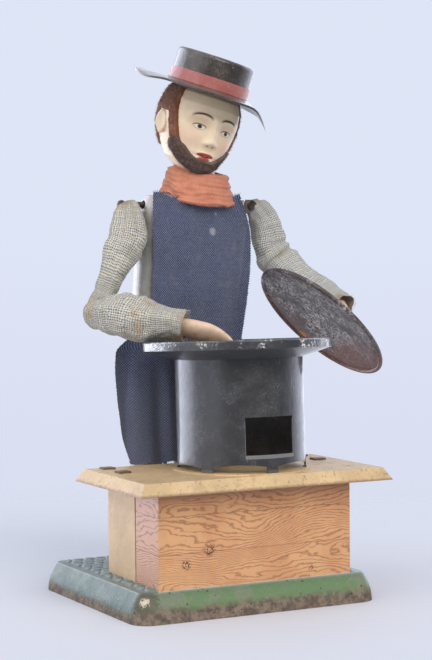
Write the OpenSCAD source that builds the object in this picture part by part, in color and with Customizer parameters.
// Clockwork tin toy: a bearded man in a brimmed hat stirs a stove with his right
// hand and lifts the lid with his left. He stands behind a tin counter on a tray.
// Millimetres. +X is the viewer's right, -Y the front of the counter, +Z up.
// The origin is the middle of the tray's underside, on the shelf.

/* [Tray] */
// Width of the tray at the floor
base_w = 92; // [84:1:110]
// Depth of the tray at the floor
base_d = 82; // [76:1:100]
// Height of the tray
base_h = 9.8; // [7:0.2:14]
// How far the tray's top edge lies inside its foot
base_inset = 3.5; // [2:0.1:5]
// Corner radius of the tray at the floor
base_corner = 7; // [5:0.5:12]
// Thickness of the tray's tin
base_t = 0.9; // [0.6:0.1:1.4]

/* [Counter] */
// Width of the counter box
box_w = 73; // [70:0.5:80]
// Front face of the counter box, from the middle of the tray
box_front = 37; // [36:0.1:37.4]
// Depth of the counter box
box_d = 40; // [38:0.5:42]
// Height of the counter box above the tray
box_h = 32.8; // [31:0.2:40]
// Depth of the flaps that the wood-grain front sheet folds round the sides
flap_d = 17.5; // [10:0.5:22]
// Open seam between the flaps and the plain side sheets
seam_gap = 0.8; // [0.4:0.1:1.5]
// Thickness of the tin in the counter, the stove and the figure
tin = 0.6; // [0.4:0.05:0.8]

/* [Counter top] */
// Width of the counter top at its lower edge
top_w = 95; // [92:0.5:104]
// Gap between the box's back and the counter top's flange
top_play = 0.1; // [0.05:0.05:0.6]
// How far the counter top stands out in front of the box
top_reach = 10.5; // [8:0.5:11]
// Height of the counter top's sloping edge
top_h = 4.2; // [3:0.1:6]
// How far the edge slopes in
top_inset = 2.5; // [1.5:0.1:4]
// Thickness of the counter top's tin
top_t = 0.8; // [0.6:0.1:1.2]
// Height of the round boss that the stove stands on
boss_h = 0.5; // [0.3:0.1:0.8]

/* [Stove] */
// Outer radius of the stove drum
drum_r = 22; // [19:0.5:23]
// Height of the drum's wall
drum_h = 36.1; // [32:0.5:37]
// Place of the stove across the counter
drum_x = 2.9; // [0:0.1:5]
// Place of the stove from the middle of the tray to the front
drum_y = -21.3; // [-22:0.1:-21]
// Lean of the stove towards the figure
drum_lean = 2.7; // [0:0.1:3]
// Width of the fire door, measured straight across
door_w = 18; // [10:0.5:22]
// Height of the fire door
door_h = 12.6; // [8:0.5:18]
// Height of the fire door's sill above the drum's lower edge
door_sill = 4; // [2:0.5:8]
// Outer radius of the stove's flared rim
rim_r = 32.6; // [30:0.2:33]
// Rise of the flare from the drum to the lip
flare_h = 3.3; // [2:0.1:5]
// Height of the lip
lip_h = 2.4; // [1.6:0.1:3.5]

/* [Lid] */
// Radius of the lid
lid_r = 27; // [24:0.5:28]
// Depth of the lid's domed middle
lid_dome = 2.4; // [1:0.1:4]
// Slant of the lid in the left hand
lid_slant = 45; // [40:1:50]

/* [Figure] */
// Place of the shoulders from the middle of the tray to the back
fig_y = 23; // [22.9:0.1:24]
// Middle of the torso across the tray, at the shoulders
chest_x = 7; // [6.5:0.1:7.5]
// Middle of the hips across the tray
hip_x = -3.5; // [-4:0.1:-3]
// Height of the shoulder axles
shoulder_z = 138; // [137.6:0.1:138.6]
// Half the width of the torso at the shoulders
chest_a = 20; // [19.5:0.1:20.2]
// Half the depth of the torso
chest_b = 7.6; // [7.2:0.1:7.8]
// Height of the torso's lower edge
hip_z = 66; // [62:0.5:70]
// Gap between the trouser legs, where the push rod runs
leg_gap = 3.4; // [3:0.1:4.4]
// Half the width of a trouser leg at the hip
leg_a = 6.4; // [5.6:0.1:6.6]

/* [Head and hat] */
// Tilt of the head to its left
head_tilt = 14.5; // [10:0.5:16]
// Nod of the head
head_nod = 12; // [8:0.5:14]
// Half the width of the head
head_a = 13.8; // [13:0.1:14.2]
// Half the depth of the head
head_b = 16.2; // [15.4:0.1:16.6]
// Half the height of the head
head_c = 16.6; // [16:0.1:17.4]
// Outer radius of the hat's brim
brim_r = 27.5; // [24:0.5:29]
// Radius of the hat's crown at the brim
crown_r = 14.5; // [14.2:0.1:15.6]
// Height of the hat's crown
crown_h = 12.3; // [10:0.1:15]
// Height of the hat band
band_h = 4; // [2:0.1:4.5]

/* [Clothes] */
// Radius of the sleeves at the upper arm
sleeve_r = 7.3; // [6.4:0.1:7.4]
// Depth of the sleeves' creases, as a share of their radius
crease = 0.07; // [0.03:0.01:0.09]
// Thickness of the apron's cloth
apron_t = 0.9; // [0.7:0.1:1]
// Height of the apron's hem
hem_z = 46; // [44:0.5:52]
// Depth of the apron's hanging folds
apron_fold = 0.45; // [0.2:0.05:0.5]

/* [Clockwork] */
// Width inside the counter box that the pitch circles of the train leave free
train_room = 17.425; // [17:0.025:21]
// Teeth of the great wheel and of the second wheel
wheel_teeth = 30; // [28:1:30]
// Teeth of the third wheel
third_teeth = 25; // [22:1:25]
// Leaves of each pinion
pinion_teeth = 10; // [10:1:10]
// Play between the teeth, measured round the pitch circle
backlash = 0.2; // [0.14:0.01:0.26]
// Thickness of the wheels
wheel_t = 1; // [0.8:0.1:1.2]
// Height of the arbors above the tray
train_z = 16.2; // [15:0.1:18]
// Gap between the clockwork's plates and the counter box's right side
train_play = 1.15; // [0.8:0.05:2]
// Distance between the clockwork's plates, from their rear faces
plate_gap = 27; // [26.5:0.1:27]
// Radius of the winding arbor
arbor_r = 1.5; // [1.2:0.1:1.7]
// Radius of the other arbors
thin_r = 0.9; // [0.7:0.05:1]
// Gap all round an arbor in its bearing
bearing_gap = 0.05; // [0.03:0.01:0.08]
// Throw of the crank
crank_throw = 1.4; // [1:0.1:1.8]
// Half the width of the key across its wings
key_reach = 7.5; // [6:0.5:8]
// Radius of the governor's fan
fan_r = 7.6; // [5:0.1:8]

/* [Arms] */
// Radius of the push rod's wire
rod_r = 0.8; // [0.6:0.05:0.9]
// Length of the right arm's lever inside the torso
right_lever = 5.2; // [4.8:0.1:5.3]
// Length of the left arm's tail inside the torso
left_tail = 6.5; // [6:0.1:6.8]
// Radius of the right arm's axle
axle_r = 1.1; // [0.9:0.05:1.2]
// Gap left open between the rod and the pieces that it works
open_gap = 0.3; // [0.25:0.05:0.4]
// Radius of the arm wires
wire_r = 0.9; // [0.7:0.05:1.1]

/* [Hidden] */
$fn = 48;
eps = 0.01;
// Heights of the tray top, the counter top's lower edge and the counter top
floor_z = base_h;
edge_z = floor_z + box_h;
wall_h = box_h + top_h - top_t;
table_z = edge_z + top_h;
// Faces of the counter box
box_y0 = -box_front;
box_y1 = box_y0 + box_d;
box_x = box_w / 2;
table_y0 = box_y0 - top_reach;
top_d = top_reach + box_d + top_t + top_inset * (top_h - top_t) / top_h + top_play;
// Radius of the bulged side of the tray, an arc that stands upright at the floor
bulge_r = (base_inset * base_inset + base_h * base_h) / (2 * base_inset);
// Stove
foot_n = 6;
scallop = 0.9;
tab_w = 4;
// Module of the gear teeth, from the sum of the train's pitch circles
train_teeth = (3 * wheel_teeth + 3 * pinion_teeth + third_teeth) / 2;
gear_m = (box_w - 2 * tin - train_room) / train_teeth;
// Arbors, from the winding arbor to the governor
plate_end = 1;
pinion_pr = gear_m * pinion_teeth / 2;
wheel_pr = gear_m * wheel_teeth / 2;
third_pr = gear_m * third_teeth / 2;
gear_c = floor_z + train_z;
wind_x = box_x - tin - train_play - plate_end - wheel_pr;
second_x = wind_x - wheel_pr - pinion_pr;
third_x = second_x - wheel_pr - pinion_pr;
fan_x = third_x - third_pr - pinion_pr;
// Clockwork frame plates
plate_t = 1;
rear_y = box_y1 - 7;
front_y = rear_y - plate_gap;
plate_x0 = fan_x - fan_r - 1.5;
plate_x1 = wind_x + wheel_pr + plate_end;
plate_top = gear_c + wheel_pr + 2.5;
great_y = rear_y - 9.5;
second_y = great_y - 4;
third_y = second_y - 4;
fan_y0 = front_y + 2;
fan_len = 4.5;
ratchet_r = 5;
ratchet_n = 12;
// Open pivots of the push rod
crank_y = box_y1 + 1.2;
crank_t = 1;
crank_pin = 1.8;
yoke_y = crank_y + crank_t + crank_pin + open_gap;
yoke_t = 0.8;
rod_x = hip_x;
rod_y = fig_y + 3;
lever_t = 1.2;
lever_side = 2.6;
bar_t = 1.2;
bar_w = 1;
bar_z = shoulder_z + open_gap;
// Shoulders
chest_y = fig_y + 0.4;
right_pin_x = chest_x - chest_a;
left_pin_x = chest_x + chest_a + 2.8;
left_pin_r = 1;
lug_t = 0.8;
lug_y = 3;
tail_w = 2;
// Head
head_at = [chest_x + 1.2, fig_y - 1, shoulder_z + 28.4];
hat_up = 13.8;
neck_r = 6.6;
torso_top = shoulder_z + 4;
post_r = 1.6;
post_foot = [head_at[0] - 0.1, head_at[1] + 0.6, shoulder_z - 5.9];
post_top = head_at + [0.8, 0.4, -18.3];
// Hand and lid
lid_at = [44, -6, 95.6];
hand_tip = [2.2, -19.4, 89.9];
wrist = [-13.6, -9.2, 96.6];
left_wrist = [49.2, -5, 106.5];

// Helpers

function mix(a, b, t) = a + (b - a) * t;
function unit(v) = v / norm(v);
// Value at x on a line through points [x, y] that climb in x
function track(p, x, i = 0) =
  i >= len(p) - 2 || x <= p[i + 1][0]
    ? mix(p[i][1], p[i + 1][1], (x - p[i][0]) / (p[i + 1][0] - p[i][0]))
    : track(p, x, i + 1);
function power(c, e) = sign(c) * pow(abs(c), e);
function flat(l) = [for (a = l) for (b = a) b];

// Closed skin over rings of equal count, the first ring's normal pointing inwards
module loft(rings) {
  n = len(rings[0]);
  m = len(rings);
  sides = flat([
    for (j = [0:m - 2]) [
      for (i = [0:n - 1])
        for (f = [
          [j * n + i, (j + 1) * n + i, j * n + (i + 1) % n],
          [j * n + (i + 1) % n, (j + 1) * n + i, (j + 1) * n + (i + 1) % n]
        ]) f
    ]
  ]);
  first = [for (i = [1:n - 2]) [0, i, i + 1]];
  last = [for (i = [1:n - 2]) [(m - 1) * n, (m - 1) * n + i + 1, (m - 1) * n + i]];
  polyhedron(flat(rings), concat(first, sides, last), convexity = 6);
}

// Flat rounded rectangle with its corners' radius
module rounded(w, d, r) {
  square([w - 2 * r, d], center = true);
  square([w, d - 2 * r], center = true);
  for (x = [-1, 1], y = [-1, 1]) {
    translate([x * (w / 2 - r), y * (d / 2 - r)]) circle(r);
  }
}

// Cylinder along Y from y0 to y1
module along_y(r, y0, y1) {
  translate([0, y0, 0]) rotate([-90, 0, 0]) cylinder(r = r, h = y1 - y0);
}

// Cylinder along X from x0 to x1
module along_x(r, x0, x1) {
  translate([x0, 0, 0]) rotate([0, 90, 0]) cylinder(r = r, h = x1 - x0);
}

// Straight wire from a to b
module wire(a, b, r) {
  d = b - a;
  translate(a)
    rotate([0, acos(d[2] / norm(d)), atan2(d[1], d[0])])
      cylinder(r = r, h = norm(d));
}

// Block between two corners
module block(a, b) {
  translate(a) cube(b - a);
}

// Tray

// Side section of the tray's skirt: x is 0 at the foot, and z climbs to the top
module skirt_section() {
  intersection() {
    translate([-bulge_r, 0]) {
      difference() {
        circle(bulge_r, $fn = 96);
        circle(bulge_r - base_t, $fn = 96);
      }
    }
    translate([-2 * base_inset - base_t, 0]) square([2 * base_inset + base_t, base_h]);
  }
}

// The tray's lower edge is folded in
hem_w = 2;
hem_h = 0.6;

module base_tray() {
  r = base_corner;
  x = base_w / 2 - r;
  y = base_d / 2 - r;
  color("darkseagreen") {
    difference() {
      union() {
        for (s = [[0, x, y], [90, y, x], [180, x, y], [270, y, x]]) {
          rotate(s[0]) {
            translate([s[1] + r, s[2], 0])
              rotate([90, 0, 0])
                linear_extrude(2 * s[2]) skirt_section();
            translate([s[1], s[2], 0])
              rotate_extrude(angle = 90) translate([r, 0]) skirt_section();
          }
        }
        translate([0, 0, base_h - base_t])
          linear_extrude(base_t)
            rounded(base_w - 2 * base_inset, base_d - 2 * base_inset, r - base_inset);
        linear_extrude(hem_h) {
          difference() {
            rounded(base_w, base_d, r);
            rounded(base_w - 2 * hem_w, base_d - 2 * hem_w, r - hem_w);
          }
        }
      }
      for (p = rivet_places) {
        translate([p[0], p[1], 0]) cylinder(r = rivet_r, h = base_h + 1);
      }
    }
  }
}

// Counter

// Outline of the bent front sheet, seen from above
module front_plan() {
  difference() {
    translate([-box_x, box_y0]) square([box_w, flap_d]);
    translate([-box_x + tin, box_y0 + tin]) square([box_w - 2 * tin, flap_d]);
  }
}

module counter_front() {
  color("peru") translate([0, 0, floor_z]) linear_extrude(wall_h) front_plan();
}

// Tabs that come up through the counter top and are bent over on it
tab_rows = [-0.3, -13, -27];
tab_len = 4.4;
slot_play = 0.3;

module shell_tab(side, y) {
  x = side * (box_x - tin / 2);
  block([x - tin / 2, y - tab_w / 2, edge_z - 1], [x + tin / 2, y + tab_w / 2, table_z + tin]);
  translate([side > 0 ? x - tin / 2 : x + tin / 2 - tab_len, y - tab_w / 2, table_z])
    cube([tab_len, tab_w, tin]);
}

module counter_shell() {
  y0 = box_y0 + flap_d + seam_gap;
  color("tan") {
    difference() {
      translate([0, 0, floor_z]) {
        linear_extrude(wall_h) {
          difference() {
            translate([-box_x, y0]) square([box_w, box_y1 - y0]);
            translate([-box_x + tin, y0 - tin]) square([box_w - 2 * tin, box_y1 - y0]);
          }
        }
      }
      for (x = [wind_x, second_x]) {
        translate([x, 0, gear_c]) along_y(arbor_r + 0.7, box_y1 - 2 * tin, box_y1 + tin);
      }
      block(
        [stop_x - stop_in, box_y1 - 2 * tin, stop_foot - stop_in],
        [stop_x + stop_sweep, box_y1 + tin, stop_foot + stop_in + 0.8]
      );
      translate([stop_x, 0, stop_z]) along_y(stop_r, box_y1 - 2 * tin, box_y1 + tin);
    }
    for (side = [-1, 1]) {
      for (y = [tab_rows[0], tab_rows[1]]) shell_tab(side, y);
    }
  }
}

// Sloping solid of the counter top, drawn in by d
module top_solid(d, h) {
  x = top_w / 2 - d;
  s = top_inset * h / top_h;
  intersection() {
    rotate([90, 0, 0])
      linear_extrude(200, center = true)
        polygon([[-x, 0], [x, 0], [x - s, h], [-x + s, h]]);
    rotate([90, 0, 90])
      linear_extrude(200, center = true)
        polygon([
          [table_y0 + d, 0],
          [table_y0 + top_d - d, 0],
          [table_y0 + top_d - d - s, h],
          [table_y0 + d + s, h]
        ]);
  }
}

module counter_top() {
  color("burlywood") {
    difference() {
      union() {
        translate([0, 0, edge_z]) top_solid(0, top_h);
        translate([drum_x, drum_y, table_z]) cylinder(r = drum_r + 1.6, h = boss_h);
      }
      translate([0, 0, edge_z - eps]) top_solid(top_t, top_h - top_t + eps);
      for (side = [-1, 1], y = [tab_rows[0], tab_rows[1]]) {
        translate([side * (box_x - tin / 2), y, table_z])
          cube([tin + 2 * slot_play, tab_w + 2 * slot_play, 3 * top_h], center = true);
      }
      for (a = tab_turns) {
        stove_place()
          rotate(a)
            translate([drum_r - tin / 2, 0, 0])
              cube([tin + 2 * slot_play, tab_w + 2 * slot_play, 12], center = true);
      }
    }
  }
}

// Stove

// The stove stands on its back edge and leans on it
tab_turns = [30, 150, 210, 270, 330];

module stove_place() {
  translate([drum_x, drum_y + drum_r, table_z + boss_h])
    rotate([-drum_lean, 0, 0])
      translate([0, -drum_r, 0]) children();
}

// Shallow bow that is cut out of the wall between two feet, on the +X side
bow_r = 45;

module bow() {
  rotate([0, 90, 0])
    translate([bow_r - scallop, 0, drum_r - 6])
      cylinder(r = bow_r, h = 12, $fn = 128);
}

module drum() {
  color("dimgray") {
    stove_place() {
      difference() {
        cylinder(r = drum_r, h = drum_h, $fn = 96);
        translate([0, 0, -eps]) cylinder(r = drum_r - tin, h = drum_h + 1, $fn = 96);
        block(
          [-door_w / 2, -drum_r - 1, door_sill],
          [door_w / 2, 0, door_sill + door_h]
        );
        for (i = [0:foot_n - 1]) {
          rotate(i * 360 / foot_n) bow();
        }
      }
      for (a = tab_turns) {
        rotate(a) block([drum_r - tin, -tab_w / 2, -tab_drop], [drum_r, tab_w / 2, 2]);
      }
    }
  }
}

tab_drop = 4.6;

// Flare and lip in one turned sheet, with a collar that sits inside the drum
module drum_rim() {
  r0 = drum_r - tin;
  color("darkslategray") {
    stove_place() {
      rotate_extrude($fn = 96)
        polygon([
          [r0 - tin, drum_h - 3],
          [r0, drum_h - 3],
          [r0, drum_h],
          [drum_r, drum_h],
          [rim_r, drum_h + flare_h],
          [rim_r, drum_h + flare_h + lip_h],
          [rim_r - tin, drum_h + flare_h + lip_h],
          [rim_r - tin, drum_h + flare_h + tin],
          [drum_r, drum_h + tin],
          [r0 - tin, drum_h + tin]
        ]);
      translate([0, 0, drum_h + flare_h + lip_h])
        rotate_extrude($fn = 96) translate([rim_r - tin, 0]) circle(tin, $fn = 16);
    }
  }
}

// Lid and left hand's handle

module lid_place() {
  translate(lid_at) rotate([0, lid_slant, 0]) children();
}

module lid() {
  r = (lid_r * lid_r + lid_dome * lid_dome) / (2 * lid_dome);
  color("slategray") {
    lid_place() {
      intersection() {
        translate([0, 0, lid_dome - r]) {
          difference() {
            sphere(r, $fn = 128);
            sphere(r - tin, $fn = 128);
          }
        }
        cylinder(r = lid_r, h = 2 * lid_dome, $fn = 96);
      }
      rotate_extrude($fn = 96) translate([lid_r - tin, 0]) circle(0.8, $fn = 16);
    }
  }
}

module lid_handle() {
  color("sienna") {
    lid_place() {
      translate([0, 0, lid_dome]) cylinder(r = 1.1, h = handle_h);
      translate([0, 0, lid_dome + handle_h]) cylinder(r = 2.6, h = 1.4);
      translate([0, 0, lid_dome]) cylinder(r = 2.2, h = 0.6);
    }
  }
}

handle_h = 3.2;

// Legs and shoes

function oval(c, a, b, n, e = 2) = [
  for (i = [0:n - 1])
    let (t = 360 * i / n)
    [c[0] + a * power(cos(t), 2 / e), c[1] + b * power(sin(t), 2 / e), c[2]]
];

leg_b = 5.6;
leg_z = [0, 6, 20, 30, 44, hip_z - floor_z + 3];
leg_share = [0.74, 0.72, 0.8, 0.82, 0.95, 1];

function leg_rings(x, cut) = [
  for (i = [0:len(leg_z) - 1])
    oval(
      [x, chest_y, floor_z + 3 + leg_z[i] - (cut > 0 && i == 0 ? 1 : 0)
        + (cut > 0 && i == len(leg_z) - 1 ? 1 : 0) - (i == len(leg_z) - 1 ? 3 : 0)],
      leg_a * leg_share[i] - cut,
      leg_b * leg_share[i] - cut,
      20
    )
];

module leg(x) {
  difference() {
    loft(leg_rings(x, 0));
    loft(leg_rings(x, tin));
  }
}

left_leg_x = rod_x + leg_gap / 2 + leg_a;
right_leg_x = rod_x - leg_gap / 2 - leg_a;

module left_leg() {
  color("rosybrown") leg(left_leg_x);
}

module right_leg() {
  color("rosybrown") leg(right_leg_x);
}

module shoes() {
  color("saddlebrown") {
    for (x = [left_leg_x, right_leg_x]) {
      hull() {
        translate([x, fig_y + 1, floor_z]) cylinder(r = 4.4, h = 3, $fn = 32);
        translate([x, fig_y - 6, floor_z]) cylinder(r = 3.6, h = 1.4, $fn = 32);
      }
    }
  }
}

// Torso

torso_rows = [
  // share of the height, share of chest_a, share of chest_b
  [0, 0.8, 0.96],
  [0.2, 0.84, 1],
  [0.4, 0.9, 1],
  [0.6, 0.95, 1],
  [0.78, 1, 1],
  [0.9, 1, 1],
  [0.965, 0.98, 0.97],
  [0.99, 0.9, 0.88],
  [1, 0.72, 0.72]
];
torso_h = torso_top - hip_z;

function torso_x(k) = mix(hip_x, chest_x, min(1, k * 1.05));

function torso_rings(cut) = [
  for (r = torso_rows)
    oval(
      [
        torso_x(r[0]),
        chest_y,
        hip_z + torso_h * r[0] - (r[0] == 0 && cut > 0 ? 1 : 0) - (r[0] > 0.9 ? cut : 0)
      ],
      chest_a * r[1] - cut,
      chest_b * r[2] - cut,
      32,
      2.6
    )
];

module torso_half(front) {
  difference() {
    loft(torso_rings(0));
    loft(torso_rings(tin));
    block(
      [-100, front ? chest_y : -100, 0],
      [100, front ? 100 : chest_y, 200]
    );
    translate([0, fig_y, shoulder_z])
      along_x(axle_r + 0.5, right_pin_x - 5, right_pin_x + 5);
    block(
      [left_pin_x - 6, fig_y - lug_y - 0.8, shoulder_z - 7.2],
      [left_pin_x + 2, fig_y + lug_y + 0.8, shoulder_z + 2.5]
    );
    wire(post_foot + [0, 0, 5], post_top, post_r + 0.2);
  }
}

module torso_front() {
  color("gainsboro") torso_half(true);
}

module torso_back() {
  color("silver") torso_half(false);
}

// Bearing bracket in the torso: two ears carry the right axle, two lugs the left pin
module shoulder_frame() {
  ear_x = [right_pin_x + 2.4, rod_x + 4.6];
  floor0 = shoulder_z - 7;
  color("lightsteelblue") {
    difference() {
      union() {
        block([ear_x[0], fig_y - lug_y, floor0], [left_pin_x - 6, fig_y + 1.6, floor0 + 1]);
        for (x = ear_x) {
          block([x, fig_y - 2.4, floor0], [x + 1, fig_y + 2.2, shoulder_z + 1.7]);
        }
        for (y = [fig_y - lug_y, fig_y + lug_y]) {
          translate([left_pin_x, y + lug_t / 2, shoulder_z])
            rotate([90, 0, 0])
              linear_extrude(lug_t) lug_outline();
        }
        block(
          [left_pin_x - 10, fig_y - lug_y, floor0],
          [left_pin_x - 6, fig_y + lug_y, floor0 + 1]
        );
      }
      translate([0, fig_y, shoulder_z])
        along_x(axle_r + bearing_gap, ear_x[0] - 1, ear_x[1] + 2);
      translate([left_pin_x, 0, shoulder_z]) along_y(left_pin_r, fig_y - 9, fig_y + 9);
    }
  }
}

// Side view of a lug: it passes under the push rod's bar and rises to the pin
module lug_outline() {
  polygon([
    [-10, -7], [-6, -7], [-5, -4.6], [0, -2], [0, 2],
    [-2.6, 2], [-4.4, -2.9], [-10, -2.9]
  ]);
  circle(2);
}

module left_shoulder_pin() {
  color("gray") {
    translate([left_pin_x, 0, shoulder_z]) {
      along_y(left_pin_r, fig_y - lug_y - 1, fig_y + lug_y + 1);
      along_y(1.7, fig_y - lug_y - 1.2, fig_y - lug_y - lug_t / 2);
      along_y(1.7, fig_y + lug_y + lug_t / 2, fig_y + lug_y + 1.2);
    }
  }
}

// Head, hair, beard and hat

module head_place() {
  translate(head_at) rotate([head_nod, head_tilt, 0]) children();
}

// The same turn undone, for a piece that is cut in the head's own directions
module head_return() {
  rotate([-head_nod, 0, 0]) rotate([0, -head_tilt, 0]) translate(-head_at) children();
}

head_rows = [
  // share of head_c, share of head_a, share of head_b, shift to the front
  [-0.98, 0.2, 0.16, 5.4],
  [-0.92, 0.42, 0.4, 4.6],
  [-0.75, 0.62, 0.68, 3],
  [-0.5, 0.78, 0.84, 1.6],
  [-0.25, 0.9, 0.95, 0.5],
  [0, 0.98, 1, 0],
  [0.25, 1, 1, 0],
  [0.5, 0.96, 0.97, 0],
  [0.7, 0.87, 0.88, 0],
  [0.83, 0.7, 0.72, 0],
  [0.93, 0.45, 0.48, 0],
  [0.98, 0.2, 0.22, 0]
];

function head_rings(grow) = [
  for (r = head_rows)
    oval(
      [0, -r[3], head_c * r[0] + grow * r[0]],
      head_a * r[1] + grow,
      head_b * r[2] + grow,
      28,
      2.2
    )
];

module head() {
  color("antiquewhite") {
    head_place() {
      loft(head_rings(0));
      // Nose, brow and ears
      hull() {
        translate([0, -head_b + 0.6, 4.2]) sphere(1.1, $fn = 16);
        translate([0, -head_b - 1.4, -1.6]) sphere(1.5, $fn = 16);
        translate([0, -head_b + 1.2, -2.4]) sphere(2, $fn = 16);
      }
      for (side = [-1, 1]) {
        hull() {
          translate([side * (head_a - 0.2), 0.8, 3]) sphere(1.5, $fn = 16);
          translate([side * (head_a - 0.6), 0, -2]) sphere(1.2, $fn = 16);
        }
      }
    }
    difference() {
      neck_form(0);
      head_place() loft(head_rings(-0.4));
      wire(post_foot, post_top, post_r + bearing_gap);
    }
  }
}

// Neck, standing just clear of the torso's top
module neck_form(grow) {
  foot = [head_at[0] + 0.4, head_at[1] + 0.5, torso_top + 0.6];
  wire(foot, head_at + [0.6, 0.4, -9], neck_r + grow);
}

module neck_post() {
  color("gray") wire(post_foot, post_top, post_r);
}

// Thickness of the beard and height of its upper edge on the head
beard_t = 1.6;
beard_z = -5.4;
// Half the width and the depth of the bare face, and the height of the nape's edge
face_x = head_a - 4.2;
face_y = head_b - 7.6;
nape_z = -9.5;
// A reach past the head on every side
far = 2 * brim_r;

module hair() {
  color("saddlebrown") {
    head_place() {
      difference() {
        loft(head_rings(1.1));
        loft(head_rings(0));
        // The face, the ears and the nape stay bare
        block([-face_x, -far, -far], [face_x, -5, far]);
        block([-far, -far, -far], [far, -face_y, far]);
        block([-far, -far, -far], [far, 0.6, beard_z + 0.1]);
        block([-far, 0, -far], [far, far, nape_z]);
        for (side = [-1, 1]) {
          translate([side * head_a, 0.6, 0.4]) rotate([0, 90, 0]) cylinder(r = 4.4, h = 12, center = true);
        }
        block([-far, -far, hat_up - 0.3], [far, far, far]);
      }
    }
  }
}

module beard() {
  color("maroon") {
    head_place() {
      difference() {
        loft(head_rings(beard_t));
        loft(head_rings(0));
        block([-far, -far, beard_z], [far, far, far]);
        block([-far, 0.5, -far], [far, far, far]);
        translate([0, -head_b, beard_z - 1.2])
          rotate([90, 0, 0])
            cylinder(r = 3.6, h = 12, center = true);
        head_return() neck_form(0.1);
      }
    }
  }
}

// Share of its reach that the brim loses where it is bent down
brim_pull = 0.2;

// The brim droops steeply at the figure's left and a little at its right
function brim_lift(r, t) =
  let (
    k = max(0, (r - crown_r) / (brim_r - crown_r)),
    left = pow(max(0, cos(t + 24)), 3),
    right = pow(max(0, cos(t + 150)), 2)
  )
  -pow(k, 1.5) * (0.4 + 7.2 * left + 1.4 * right);

// Radius of a point of the brim, drawn in where the brim is bent down
function brim_reach(r, t) =
  r - brim_pull * max(0, r - crown_r) * pow(max(0, cos(t + 24)), 3);

module hat() {
  n = 48;
  rows = [-0.6, 1.5, 4, 6.5, 9, brim_r - crown_r];
  ring_r = [for (d = rows) crown_r + d];
  loop = [
    for (r = ring_r) [r, 0],
    for (i = [len(ring_r) - 1:-1:0]) [ring_r[i], tin + (i == len(ring_r) - 1 ? 0.2 : 0)]
  ];
  m = len(loop);
  points = [
    for (j = [0:n - 1])
      let (t = 360 * j / n)
      for (p = loop)
        let (r = brim_reach(p[0], t))
        [r * cos(t), r * sin(t), p[1] + brim_lift(p[0], t)]
  ];
  faces = [
    for (j = [0:n - 1])
      for (i = [0:m - 1])
        let (
          a = j * m + i,
          b = j * m + (i + 1) % m,
          c = ((j + 1) % n) * m + i,
          d = ((j + 1) % n) * m + (i + 1) % m
        )
        for (f = [[a, b, c], [b, d, c]]) f
  ];
  color("darkolivegreen") {
    head_place() {
      translate([0, 0, hat_up]) {
        polyhedron(points, faces, convexity = 4);
        rotate_extrude($fn = 64)
          polygon([
            [crown_r - tin, 0],
            [crown_r, 0],
            [crown_top, crown_h - 1],
            [crown_top - 1, crown_h],
            [0, crown_h],
            [0, crown_h - tin],
            [crown_top - 1.2, crown_h - tin],
            [crown_top - tin, crown_h - 1.2]
          ]);
      }
    }
  }
}

crown_top = crown_r - 0.1;

module hat_band() {
  slope = (crown_r - crown_top) / (crown_h - 1);
  z0 = tin + 0.2;
  color("indianred") {
    head_place() {
      translate([0, 0, hat_up]) {
        rotate_extrude($fn = 64)
          polygon([
            [crown_r - slope * z0, z0],
            [crown_r - slope * z0 + 0.5, z0],
            [crown_r - slope * (z0 + band_h) + 0.5, z0 + band_h],
            [crown_r - slope * (z0 + band_h), z0 + band_h]
          ]);
      }
    }
  }
}

// Neckerchief: a wound cloth with slanting rolls

module neckerchief() {
  n = 32;
  rows = 12;
  low = torso_top + 1;
  high = torso_top + 8.4;
  rings = [
    for (j = [0:rows])
      let (
        k = j / rows,
        ends = j == 0 || j == rows ? -1 : 0,
        a = mix(12.4, 10.9, k) + ends,
        b = mix(9.6, 9.8, k) + ends
      )
      [
        for (i = [0:n - 1])
          let (
            t = 360 * i / n,
            roll = 0.4 * cos(360 * (k * 2.3 + 0.25 * sin(t + 40))) + 0.2 * sin(3 * t + 500 * k),
            s = 1 + roll / 12
          )
          [
            mix(head_at[0], head_at[0] + 0.8, k) + a * s * cos(t),
            fig_y - mix(0, 1, k) + b * s * sin(t),
            mix(low + 0.5 * cos(t - 152), high - 2 * cos(t + 50), k)
          ]
      ]
  ];
  color("coral") {
    difference() {
      loft(rings);
      neck_form(0);
      head_place() loft(head_rings(beard_t + 0.1));
      wire(post_foot, post_top, post_r + bearing_gap);
    }
  }
}

// Apron: one cloth from the chest to the hem, hung round the torso

apron_left = [
  [hem_z, -22], [56, -25.4], [69, -27], [80, -27.4], [88, -26.4], [91, -19.6],
  [103, -13], [113, -12.4], [141, -11.6]
];
apron_right = [
  [hem_z, 20], [66, 24], [88, 22.4], [103, 25.4], [116, 27], [128, 27.2],
  [135, 25], [141, 21.6]
];
apron_top = shoulder_z + 2.6;

// The cloth lies on the torso, and its folds hang forward of it
function cloth_y(x, z) =
  let (
    k = (z - hip_z) / torso_h,
    c = torso_x(max(0, min(1, k))),
    a = chest_a * 1.04,
    q = min(0.97, abs(x - c) / a),
    low = max(0, min(1, (104 - z) / 40)),
    bend = chest_b * (1 - pow(1 - pow(q, 2.6), 1 / 2.6)) * (1 - 0.45 * low),
    wave = apron_fold * (0.4 + low) * sin(x * 31 + z * 1.5 + 40) + 0.25 * low * sin(x * 57)
  )
  chest_y - chest_b - 0.35 + bend * 0.8 + wave * (1 - 0.3 * q) - 0.3 * low;

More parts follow.
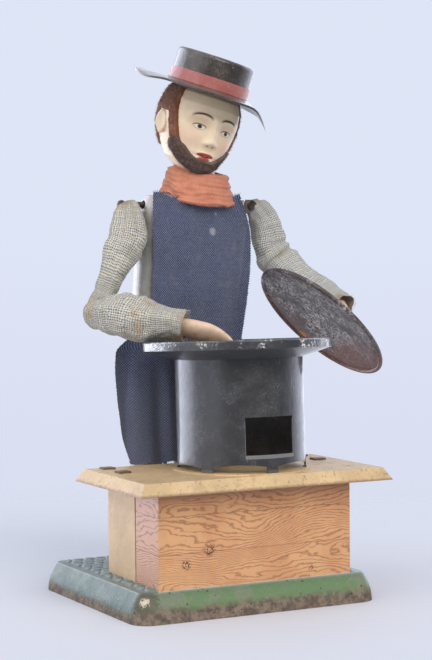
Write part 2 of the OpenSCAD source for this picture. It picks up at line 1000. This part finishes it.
module apron() {
  nx = 22;
  nz = 22;
  function at(i, j, back) =
    let (
      z = mix(hem_z, apron_top, j / nz),
      x = mix(track(apron_left, z), track(apron_right, z), i / nx)
    )
    [x, cloth_y(x, z) - (back ? 0 : apron_t), z + (j == 0 ? 0.5 * sin(x * 40) : 0)];
  w = nx + 1;
  size = w * (nz + 1);
  points = [for (b = [0, 1], j = [0:nz], i = [0:nx]) at(i, j, b == 1)];
  faces = concat(
    [
      for (j = [0:nz - 1], i = [0:nx - 1])
        let (p = j * w + i)
        for (f = [
          [p, p + w, p + 1], [p + 1, p + w, p + w + 1],
          [size + p, size + p + 1, size + p + w],
          [size + p + 1, size + p + w + 1, size + p + w]
        ]) f
    ],
    [
      for (i = [0:nx - 1])
        let (p = i, q = nz * w + i)
        for (f = [
          [p, p + 1, size + p], [p + 1, size + p + 1, size + p],
          [q, size + q, q + 1], [q + 1, size + q, size + q + 1]
        ]) f
    ],
    [
      for (j = [0:nz - 1])
        let (p = j * w, q = j * w + nx)
        for (f = [
          [p, size + p, p + w], [p + w, size + p, size + p + w],
          [q, q + w, size + q], [q + w, size + q + w, size + q]
        ]) f
    ]
  );
  color("midnightblue") polyhedron(points, faces, convexity = 8);
}

// Sleeves: a bent tube of cloth with creases that gather at the elbow

// Place k of 0 to 1 along shoulder, rounded elbow and wrist, bowed in the upper arm
function arm_at(a, e, b, reach, bow, k) =
  let (
    p = e + unit(a - e) * reach,
    q = e + unit(b - e) * reach,
    t = (k - 0.35) / 0.3
  )
  k < 0.35 ? mix(a, p, k / 0.35) + bow * pow(sin(180 * k / 0.35), 2)
    : k > 0.65 ? mix(q, b, (k - 0.65) / 0.35)
    : (1 - t) * (1 - t) * p + 2 * t * (1 - t) * e + t * t * q;

function sleeve_rings(a, e, b, reach, bow, sizes, turn, n = 24, rows = 30) = [
  for (j = [0:rows])
    let (
      k = j / rows,
      c = arm_at(a, e, b, reach, bow, k),
      ahead = arm_at(a, e, b, reach, bow, min(1, k + 0.01)),
      d = unit(ahead - arm_at(a, e, b, reach, bow, max(0, k - 0.01))),
      u = unit(cross(a - e, b - e)),
      v = cross(d, u),
      r = track(sizes, k),
      bunch = exp(-pow((k - 0.5) / 0.2, 2))
    )
    [
      for (i = [0:n - 1])
        let (
          t = 360 * i / n,
          fold = crease * (cos(3 * t + turn + 200 * k) * 0.8 + bunch * cos(360 * k * 9 + 30 * sin(t)))
        )
        c + (u * cos(t) + v * sin(t)) * r * (1 + fold)
    ]
];

right_shoulder_at = [right_pin_x - sleeve_r - 0.9, fig_y - 1.5, shoulder_z + 1];
right_elbow = [-33.4, fig_y - 3, 99.4];
left_shoulder_at = [left_pin_x + 4.2, fig_y - 1, shoulder_z - 0.5];
left_elbow = [43, fig_y - 1, 116.5];

module right_sleeve() {
  s = sleeve_r;
  color("lightgray")
    difference() {
      loft(sleeve_rings(
        right_shoulder_at, right_elbow, mix(wrist, hand_tip, -0.03), 13, [2.6, 0, 0],
        [[0, 3.2], [0.04, 5.2], [0.1, s - 0.7], [0.2, s], [0.35, s - 0.3], [0.5, 7.9], [0.65, 8.4],
         [0.78, 7.9], [0.88, 6.7], [1, 5.5]],
        0
      ));
      arm_wire();
      translate([0, fig_y, shoulder_z]) along_x(axle_r, right_shoulder_at[0], right_pin_x);
      wire(wrist - cuff(right_elbow, wrist), wrist + cuff(right_elbow, wrist), cuff_r);
    }
}

module left_sleeve() {
  color("lightgray")
    difference() {
      loft(sleeve_rings(
        left_shoulder_at, left_elbow, left_wrist, 9, [0, 0, 0],
        [[0, 3], [0.05, 5], [0.12, 6.2], [0.3, 7], [0.5, 7.8], [0.75, 7.6], [1, 6.4]],
        60
      ));
      block(
        [left_pin_x - 9, fig_y - lug_y - 1.6, shoulder_z - 8],
        [left_pin_x + 3.4, fig_y + lug_y + 1.6, shoulder_z + 8]
      );
      left_wires();
      wire(
        left_wrist - cuff(left_elbow, left_wrist),
        left_wrist + cuff(left_elbow, left_wrist),
        cuff_r
      );
    }
}

// Radius and depth of a sleeve's open cuff round the wrist
cuff_r = 4.9;
cuff_deep = 5;
function cuff(elbow, wrist) = unit(wrist - elbow) * cuff_deep;

// Arms under the sleeves

module right_axle() {
  lever_x = rod_x - lever_side;
  color("silver") {
    translate([0, fig_y, shoulder_z]) along_x(axle_r, right_shoulder_at[0], rod_x + 6.4);
    translate([0, fig_y, shoulder_z]) along_x(axle_r + 0.8, lever_x - 1, lever_x + 1);
    block(
      [lever_x - 1, fig_y, shoulder_z - lever_t],
      [lever_x + 1, fig_y + right_lever, shoulder_z]
    );
  }
}

// The wire is upset where it is bent
elbow_r = wire_r + 0.35;

module arm_wire() {
  top = [right_shoulder_at[0], fig_y, shoulder_z];
  wire(top, right_elbow, wire_r);
  wire(right_elbow, wrist, wire_r);
  translate(right_elbow) sphere(elbow_r);
  translate(top) sphere(axle_r + 0.6);
}

module right_arm_wire() {
  color("gray") {
    difference() {
      arm_wire();
      translate([0, fig_y, shoulder_z]) along_x(axle_r, right_shoulder_at[0], right_pin_x);
    }
  }
}

// Flat hand with four fingers and a thumb, from the wrist at the origin along +X
module hand(thumb) {
  hull() {
    sphere(2.3, $fn = 16);
    translate([8, 2.8, 0]) sphere(1.6, $fn = 16);
    translate([8, -2.8, 0]) sphere(1.6, $fn = 16);
  }
  for (i = [0:3]) {
    y = -3 + 2 * i;
    reach = 16.4 + [0, 1.8, 2.2, 0.4][i];
    hull() {
      translate([7.6, y, 0]) sphere(1.2, $fn = 12);
      translate([reach, y * 0.86, -1]) sphere(0.9, $fn = 12);
    }
  }
  hull() {
    translate([3, thumb * 2.2, -0.4]) sphere(1.4, $fn = 12);
    translate([9.6, thumb * 5, -1.6]) sphere(1, $fn = 12);
  }
}

module right_hand() {
  d = hand_tip - wrist;
  color("bisque") {
    difference() {
      translate(wrist)
        rotate([0, 0, atan2(d[1], d[0])])
          rotate([0, -asin(d[2] / norm(d)), 0]) hand(1);
      wire(right_elbow, wrist + unit(wrist - right_elbow), wire_r);
    }
  }
}

module left_wires() {
  wire([left_pin_x, fig_y, shoulder_z], left_elbow, wire_r);
  translate(left_elbow) sphere(elbow_r);
  wire(left_elbow, left_wrist, wire_r);
}

module left_arm_strip() {
  color("silver") {
    difference() {
      union() {
        translate([left_pin_x, 0, shoulder_z]) along_y(2, fig_y - tail_w, fig_y + tail_w);
        block(
          [left_pin_x - left_tail, fig_y - tail_w / 2, shoulder_z - lever_t],
          [left_pin_x, fig_y + tail_w / 2, shoulder_z]
        );
        left_wires();
      }
      translate([left_pin_x, 0, shoulder_z])
        along_y(left_pin_r + bearing_gap, fig_y - 9, fig_y + 9);
    }
  }
}

module left_hand() {
  color("bisque") {
    difference() {
      translate(left_wrist)
        rotate([0, 0, -100])
          rotate([40, 38, 0]) hand(-1);
      wire(left_elbow, left_wrist + unit(left_wrist - left_elbow), wire_r);
      lid_place() translate([0, 0, -5]) cylinder(r = 2.6, h = 30);
      lid_place() translate([0, 0, -20]) cylinder(r = 40, h = 20 + lid_dome + 0.8);
    }
  }
}

// Push rod: a yoke plate behind the crank, a wire up through the torso and a bar on top
module push_rod() {
  jog_z = gear_c + 9;
  yoke_x0 = rod_x - 2;
  yoke_x1 = second_x + 4;
  color("silver") {
    difference() {
      block(
        [yoke_x0, yoke_y, gear_c - 5],
        [yoke_x1, yoke_y + yoke_t, gear_c + 5]
      );
      block(
        [second_x - 2.6, yoke_y - 1, gear_c - 0.8],
        [second_x + 2.6, yoke_y + 2, gear_c + 0.8]
      );
    }
    wire([rod_x, yoke_y + yoke_t / 2, gear_c + 4], [rod_x, yoke_y + yoke_t / 2, jog_z], rod_r);
    translate([rod_x, yoke_y + yoke_t / 2, jog_z]) sphere(rod_r);
    wire([rod_x, yoke_y + yoke_t / 2, jog_z], [rod_x, rod_y, jog_z], rod_r);
    translate([rod_x, rod_y, jog_z]) sphere(rod_r);
    wire([rod_x, rod_y, jog_z], [rod_x, rod_y, bar_z + bar_t], rod_r);
    // Short bar over the right lever's end, linked to the long bar
    block(
      [rod_x - lever_side - 1.2, fig_y + right_lever - bar_lap, bar_z],
      [rod_x + rod_r, fig_y + right_lever + 0.1, bar_z + bar_t]
    );
    block(
      [rod_x - rod_r, rod_y - bar_w / 2, bar_z],
      [rod_x + rod_r, fig_y + right_lever, bar_z + bar_t]
    );
    // Long bar to the left shoulder, with a branch over the left tail's end
    block(
      [rod_x - rod_r, rod_y - bar_w / 2, bar_z],
      [left_pin_x - left_tail + bar_lap, rod_y + bar_w / 2, bar_z + bar_t]
    );
    block(
      [left_pin_x - left_tail - 0.1, fig_y - tail_w / 2, bar_z],
      [left_pin_x - left_tail + bar_lap - 0.1, rod_y + bar_w / 2, bar_z + bar_t]
    );
  }
}

// How far the bar reaches over the end of a lever
bar_lap = 0.9;

// Clockwork

function roll(a) = tan(a) * 180 / PI - a;
pressure = 25;
addendum = 0.8 * gear_m;
dedendum = 1.05 * gear_m;

function gear_points(teeth, inner = 0) =
  let (
    r = gear_m * teeth / 2,
    rb = r * cos(pressure),
    half = 90 / teeth - backlash / 4 / r * 180 / PI,
    steps = [r - dedendum, max(rb, r - dedendum * 0.9), r, r + addendum * 0.55, r + addendum],
    turn = [for (s = steps) half + roll(pressure) - (s > rb ? roll(acos(rb / s)) : 0)]
  )
  [
    for (i = [0:teeth - 1])
      let (c = 360 * i / teeth)
      for (p = concat(
        [for (j = [0:len(steps) - 1]) [steps[j], c - turn[j]]],
        [for (j = [len(steps) - 1:-1:0]) [steps[j], c + turn[j]]]
      ))
        [p[0] * cos(p[1]), p[0] * sin(p[1])]
  ];

// Toothed wheel about Y, its tooth 0 turned from +X, with an arbor hole
module gear(teeth, y, t, hole, turn = 0) {
  translate([0, y, 0])
    rotate([90, 0, 0])
      rotate(turn)
        linear_extrude(t, center = true)
          difference() {
            polygon(gear_points(teeth));
            circle(hole);
          }
}

// Wheel lightened by holes between its spokes
module spoked(teeth, y, t, hole, turn, rim) {
  difference() {
    gear(teeth, y, t, hole, turn);
    for (a = [0:60:300]) {
      rotate([0, a + 30, 0])
        translate([rim * 0.58, 0, 0])
          along_y(rim * 0.2, y - t, y + t);
    }
  }
}

// A pinion's gap meets the tooth of the wheel that drives it
gap_turn = 180 / pinion_teeth;

module frame_plate(y, holes) {
  difference() {
    union() {
      block([plate_x0, y, floor_z], [plate_x1, y + plate_t, plate_top]);
      for (x = [plate_x0 + 5, plate_x1 - 5]) {
        block([x - 3, y - (y < -20 ? 0 : 5), floor_z], [x + 3, y + (y < -20 ? 6 : 1), floor_z + plate_t]);
      }
    }
    for (h = holes) {
      translate([h[0], 0, gear_c]) along_y(h[1] + bearing_gap, y - 1, y + 2);
    }
    for (p = rivet_places) {
      translate([p[0], p[1], floor_z - 1]) cylinder(r = rivet_r, h = 3);
    }
    for (p = pillar_places) {
      translate([p[0], 0, p[1]]) along_y(pillar_pin, y - 1, y + 2);
    }
    block(
      [plate_x0 - 1, y - 1, stop_foot - stop_in - 0.4],
      [stop_x + stop_sweep, y + 2, stop_foot + stop_in + 1.2]
    );
  }
}

rivet_r = 0.8;
pillar_pin = 0.9;
rivet_places = [
  [plate_x0 + 5, front_y + 3.4], [plate_x1 - 5, front_y + 3.4],
  [plate_x0 + 5, rear_y - 2.6], [plate_x1 - 5, rear_y - 2.6]
];
pillar_places = [
  [plate_x0 + 2.4, plate_top - 2.4], [third_x + pinion_pr + 3.7, plate_top - 1.6],
  [plate_x1 - 2, plate_top - 1.8], [plate_x0 + 2.4, floor_z + 4]
];

module front_plate() {
  color("lightgray")
    frame_plate(front_y, [[second_x, thin_r], [third_x, thin_r], [fan_x, thin_r], [wind_x, arbor_r]]);
}

module rear_plate() {
  color("lightgray")
    frame_plate(rear_y, [[second_x, thin_r], [third_x, thin_r], [fan_x, thin_r], [wind_x, arbor_r]]);
}

module pillars() {
  color("goldenrod") {
    for (p = pillar_places) {
      translate([p[0], 0, p[1]]) {
        along_y(1.3, front_y + plate_t, rear_y);
        along_y(pillar_pin, front_y - 0.5, rear_y + plate_t + 0.5);
      }
    }
  }
}

module frame_rivets() {
  color("darkgray") {
    for (p = rivet_places) {
      translate([p[0], p[1], 0]) {
        translate([0, 0, floor_z - base_t - 0.6]) cylinder(r = rivet_r, h = base_t + plate_t + 1.2);
        translate([0, 0, floor_z - base_t - 0.6]) cylinder(r = 1.5, h = 0.6);
        translate([0, 0, floor_z + plate_t]) cylinder(r = 1.5, h = 0.6);
      }
    }
  }
}

module winding_arbor() {
  color("steelblue")
    translate([wind_x, 0, gear_c]) along_y(arbor_r, front_y - 0.6, box_y1 + 4.4);
}

module key() {
  y0 = box_y1 + 1.4;
  y1 = box_y1 + 5.4;
  color("silver") {
    translate([wind_x, 0, gear_c]) {
      difference() {
        along_y(arbor_r + 1.1, y0, y1);
        along_y(arbor_r, y0 - 1, box_y1 + 4.4);
      }
      translate([0, y1 - 0.6, 0]) rotate([0, -90, 0]) key_wings();
    }
  }
}

// Two rounded wings with a hole in each, from a flat sheet
module key_wings() {
  translate([0, 0, -0.6])
    linear_extrude(1.2)
      difference() {
        union() {
          for (side = [-1, 1]) {
            translate([side * (key_reach - 3.4), 3.4]) circle(3.4);
          }
          translate([-key_reach + 3.4, 0]) square([2 * key_reach - 6.8, 3.6]);
        }
        for (side = [-1, 1]) {
          translate([side * (key_reach - 3.4), 3.6]) circle(1.5);
        }
      }
}

module ratchet_wheel() {
  points = [
    for (i = [0:ratchet_n - 1])
      for (p = [[ratchet_r, 0], [ratchet_r - 1, 2], [ratchet_r - 1, 8]])
        let (a = 360 * i / ratchet_n + p[1])
        [p[0] * cos(a), p[0] * sin(a)]
  ];
  color("goldenrod")
    translate([wind_x, great_y + 2, gear_c])
      rotate([90, 0, 0])
        linear_extrude(1, center = true)
          difference() {
            polygon(points);
            circle(arbor_r);
          }
}

module great_wheel() {
  color("gold")
    translate([wind_x, 0, gear_c])
      difference() {
        spoked(wheel_teeth, great_y, wheel_t, arbor_r + bearing_gap, 0, wheel_pr);
        translate([click_x, 0, click_z]) along_y(0.7, great_y - 2, great_y + 2);
      }
}

// Click on the great wheel, its nose just clear of the ratchet's tips
click_x = -5.2;
click_z = 5.9;
click_nose = ratchet_r + 0.55;

module click() {
  color("darkkhaki") {
    translate([wind_x, 0, gear_c]) {
      difference() {
        union() {
          translate([click_x, 0, click_z]) along_y(1.3, great_y + 1.5, great_y + 2.5);
          hull() {
            translate([click_x, 0, click_z]) along_y(0.9, great_y + 1.5, great_y + 2.5);
            translate([click_x + 4.6, 0, click_nose]) along_y(0.4, great_y + 1.5, great_y + 2.5);
          }
        }
        translate([click_x, 0, click_z]) along_y(0.7 + bearing_gap, great_y, great_y + 4);
      }
    }
  }
}

module click_spring() {
  color("steelblue") {
    translate([wind_x, 0, gear_c]) {
      translate([click_x, 0, click_z]) {
        along_y(0.7, great_y - 0.5, great_y + 3);
        along_y(1.2, great_y + 2.7, great_y + 3.2);
      }
      block([click_x - 2.6, great_y + 0.5, click_z + 1.7], [click_x - 1.8, great_y + 2.5, click_z + 2.5]);
      block([click_x - 2.6, great_y + 1.6, click_z + 2.1], [click_x + 4.4, great_y + 2.4, click_z + 2.4]);
    }
  }
}

// Spiral mainspring, hooked to the winding arbor
module mainspring() {
  turns = 5;
  steps = 20;
  strip = 0.4;
  r0 = arbor_r;
  r1 = 9.6;
  n = turns * steps;
  function spiral(i, w) =
    let (a = 360 * i / steps, r = r0 + (r1 - r0) * i / n + w)
    [r * cos(a), r * sin(a)];
  points = concat(
    [for (i = [0:n]) spiral(i, 0)],
    [for (i = [n:-1:0]) spiral(i, strip)]
  );
  color("slategray")
    translate([wind_x, great_y + 6.2, gear_c])
      rotate([90, 0, 0])
        linear_extrude(4.4, center = true) polygon(points);
}

module arbor(x, y1 = rear_y + plate_t + 0.6) {
  translate([x, 0, gear_c]) along_y(thin_r, front_y - 0.6, y1);
}

module second_arbor() {
  color("steelblue") arbor(second_x, crank_y + crank_t);
}

module second_pinion() {
  color("khaki")
    translate([second_x, 0, gear_c])
      gear(pinion_teeth, great_y, wheel_t + 1.2, thin_r, gap_turn);
}

module second_wheel() {
  color("gold")
    translate([second_x, 0, gear_c])
      spoked(wheel_teeth, second_y, wheel_t, thin_r, 0, wheel_pr);
}

module crank() {
  color("silver") {
    translate([second_x, 0, gear_c]) {
      difference() {
        along_y(3.4, crank_y, crank_y + crank_t);
        along_y(thin_r, crank_y - 1, crank_y + 2);
      }
      translate([0, 0, -crank_throw])
        along_y(0.7, crank_y + crank_t, crank_y + crank_t + crank_pin);
    }
  }
}

module third_arbor() {
  color("steelblue") arbor(third_x);
}

module third_pinion() {
  color("khaki")
    translate([third_x, 0, gear_c])
      gear(pinion_teeth, second_y, wheel_t + 1.2, thin_r, gap_turn);
}

module third_wheel() {
  color("gold")
    translate([third_x, 0, gear_c])
      spoked(third_teeth, third_y, wheel_t, thin_r, third_turn, third_pr);
}

// The third wheel has an odd count, so a tooth is turned to face the governor
third_turn = third_teeth % 2 == 0 ? 0 : 180 / third_teeth;

module governor_arbor() {
  color("steelblue") arbor(fan_x);
}

module governor_pinion() {
  color("khaki")
    translate([fan_x, 0, gear_c])
      gear(pinion_teeth, third_y, wheel_t + 1.2, thin_r, gap_turn);
}

module fan() {
  color("lightgray") {
    translate([fan_x, 0, gear_c]) {
      difference() {
        union() {
          along_y(1.8, fan_y0, fan_y0 + fan_len);
          block([-fan_r, fan_y0, -0.3], [fan_r, fan_y0 + fan_len, 0.3]);
        }
        along_y(thin_r, fan_y0 - 1, fan_y0 + fan_len + 1);
      }
    }
  }
}

// Stop lever on the back of the counter, whose finger goes in through a window,
// and how far it stands from the box's left side
stop_side = 5.5;
stop_x = stop_side - box_x;
stop_z = 33;
stop_foot = 21;
// Room for the finger beside its rest, and along its swing
stop_in = 1.2;
stop_sweep = 4.6;
stop_r = 0.8;

module stop_lever() {
  y0 = box_y1 + 0.3;
  color("silver") {
    difference() {
      union() {
        translate([stop_x, 0, stop_z]) along_y(2.2, y0, y0 + 0.8);
        block([stop_x - 1.2, y0, stop_foot - 0.6], [stop_x + 1.2, y0 + 0.8, stop_z + 7]);
        translate([stop_x, 0, stop_z + 7]) along_y(2, y0, y0 + 0.8);
        translate([stop_x, 0, stop_foot]) along_y(0.6, fan_y0 + 1, y0 + 0.8);
      }
      translate([stop_x, 0, stop_z]) along_y(stop_r + bearing_gap, y0 - 1, y0 + 2);
    }
  }
}

module stop_rivet() {
  color("gray") {
    translate([stop_x, 0, stop_z]) {
      along_y(stop_r, box_y1 - tin - 0.3, box_y1 + 1.5);
      along_y(1.5, box_y1 + 1.3, box_y1 + 1.9);
    }
  }
}

base_tray();
counter_front();
counter_shell();
counter_top();
drum();
drum_rim();
left_leg();
right_leg();
shoes();
torso_front();
torso_back();
shoulder_frame();
left_shoulder_pin();
neck_post();
head();
hair();
beard();
hat();
hat_band();
neckerchief();
apron();
right_axle();
right_arm_wire();
right_hand();
right_sleeve();
left_arm_strip();
left_hand();
left_sleeve();
lid();
lid_handle();
push_rod();
front_plate();
rear_plate();
pillars();
frame_rivets();
winding_arbor();
key();
ratchet_wheel();
great_wheel();
click();
click_spring();
mainspring();
second_arbor();
second_pinion();
second_wheel();
crank();
third_arbor();
third_pinion();
third_wheel();
governor_arbor();
governor_pinion();
fan();
stop_lever();
stop_rivet();
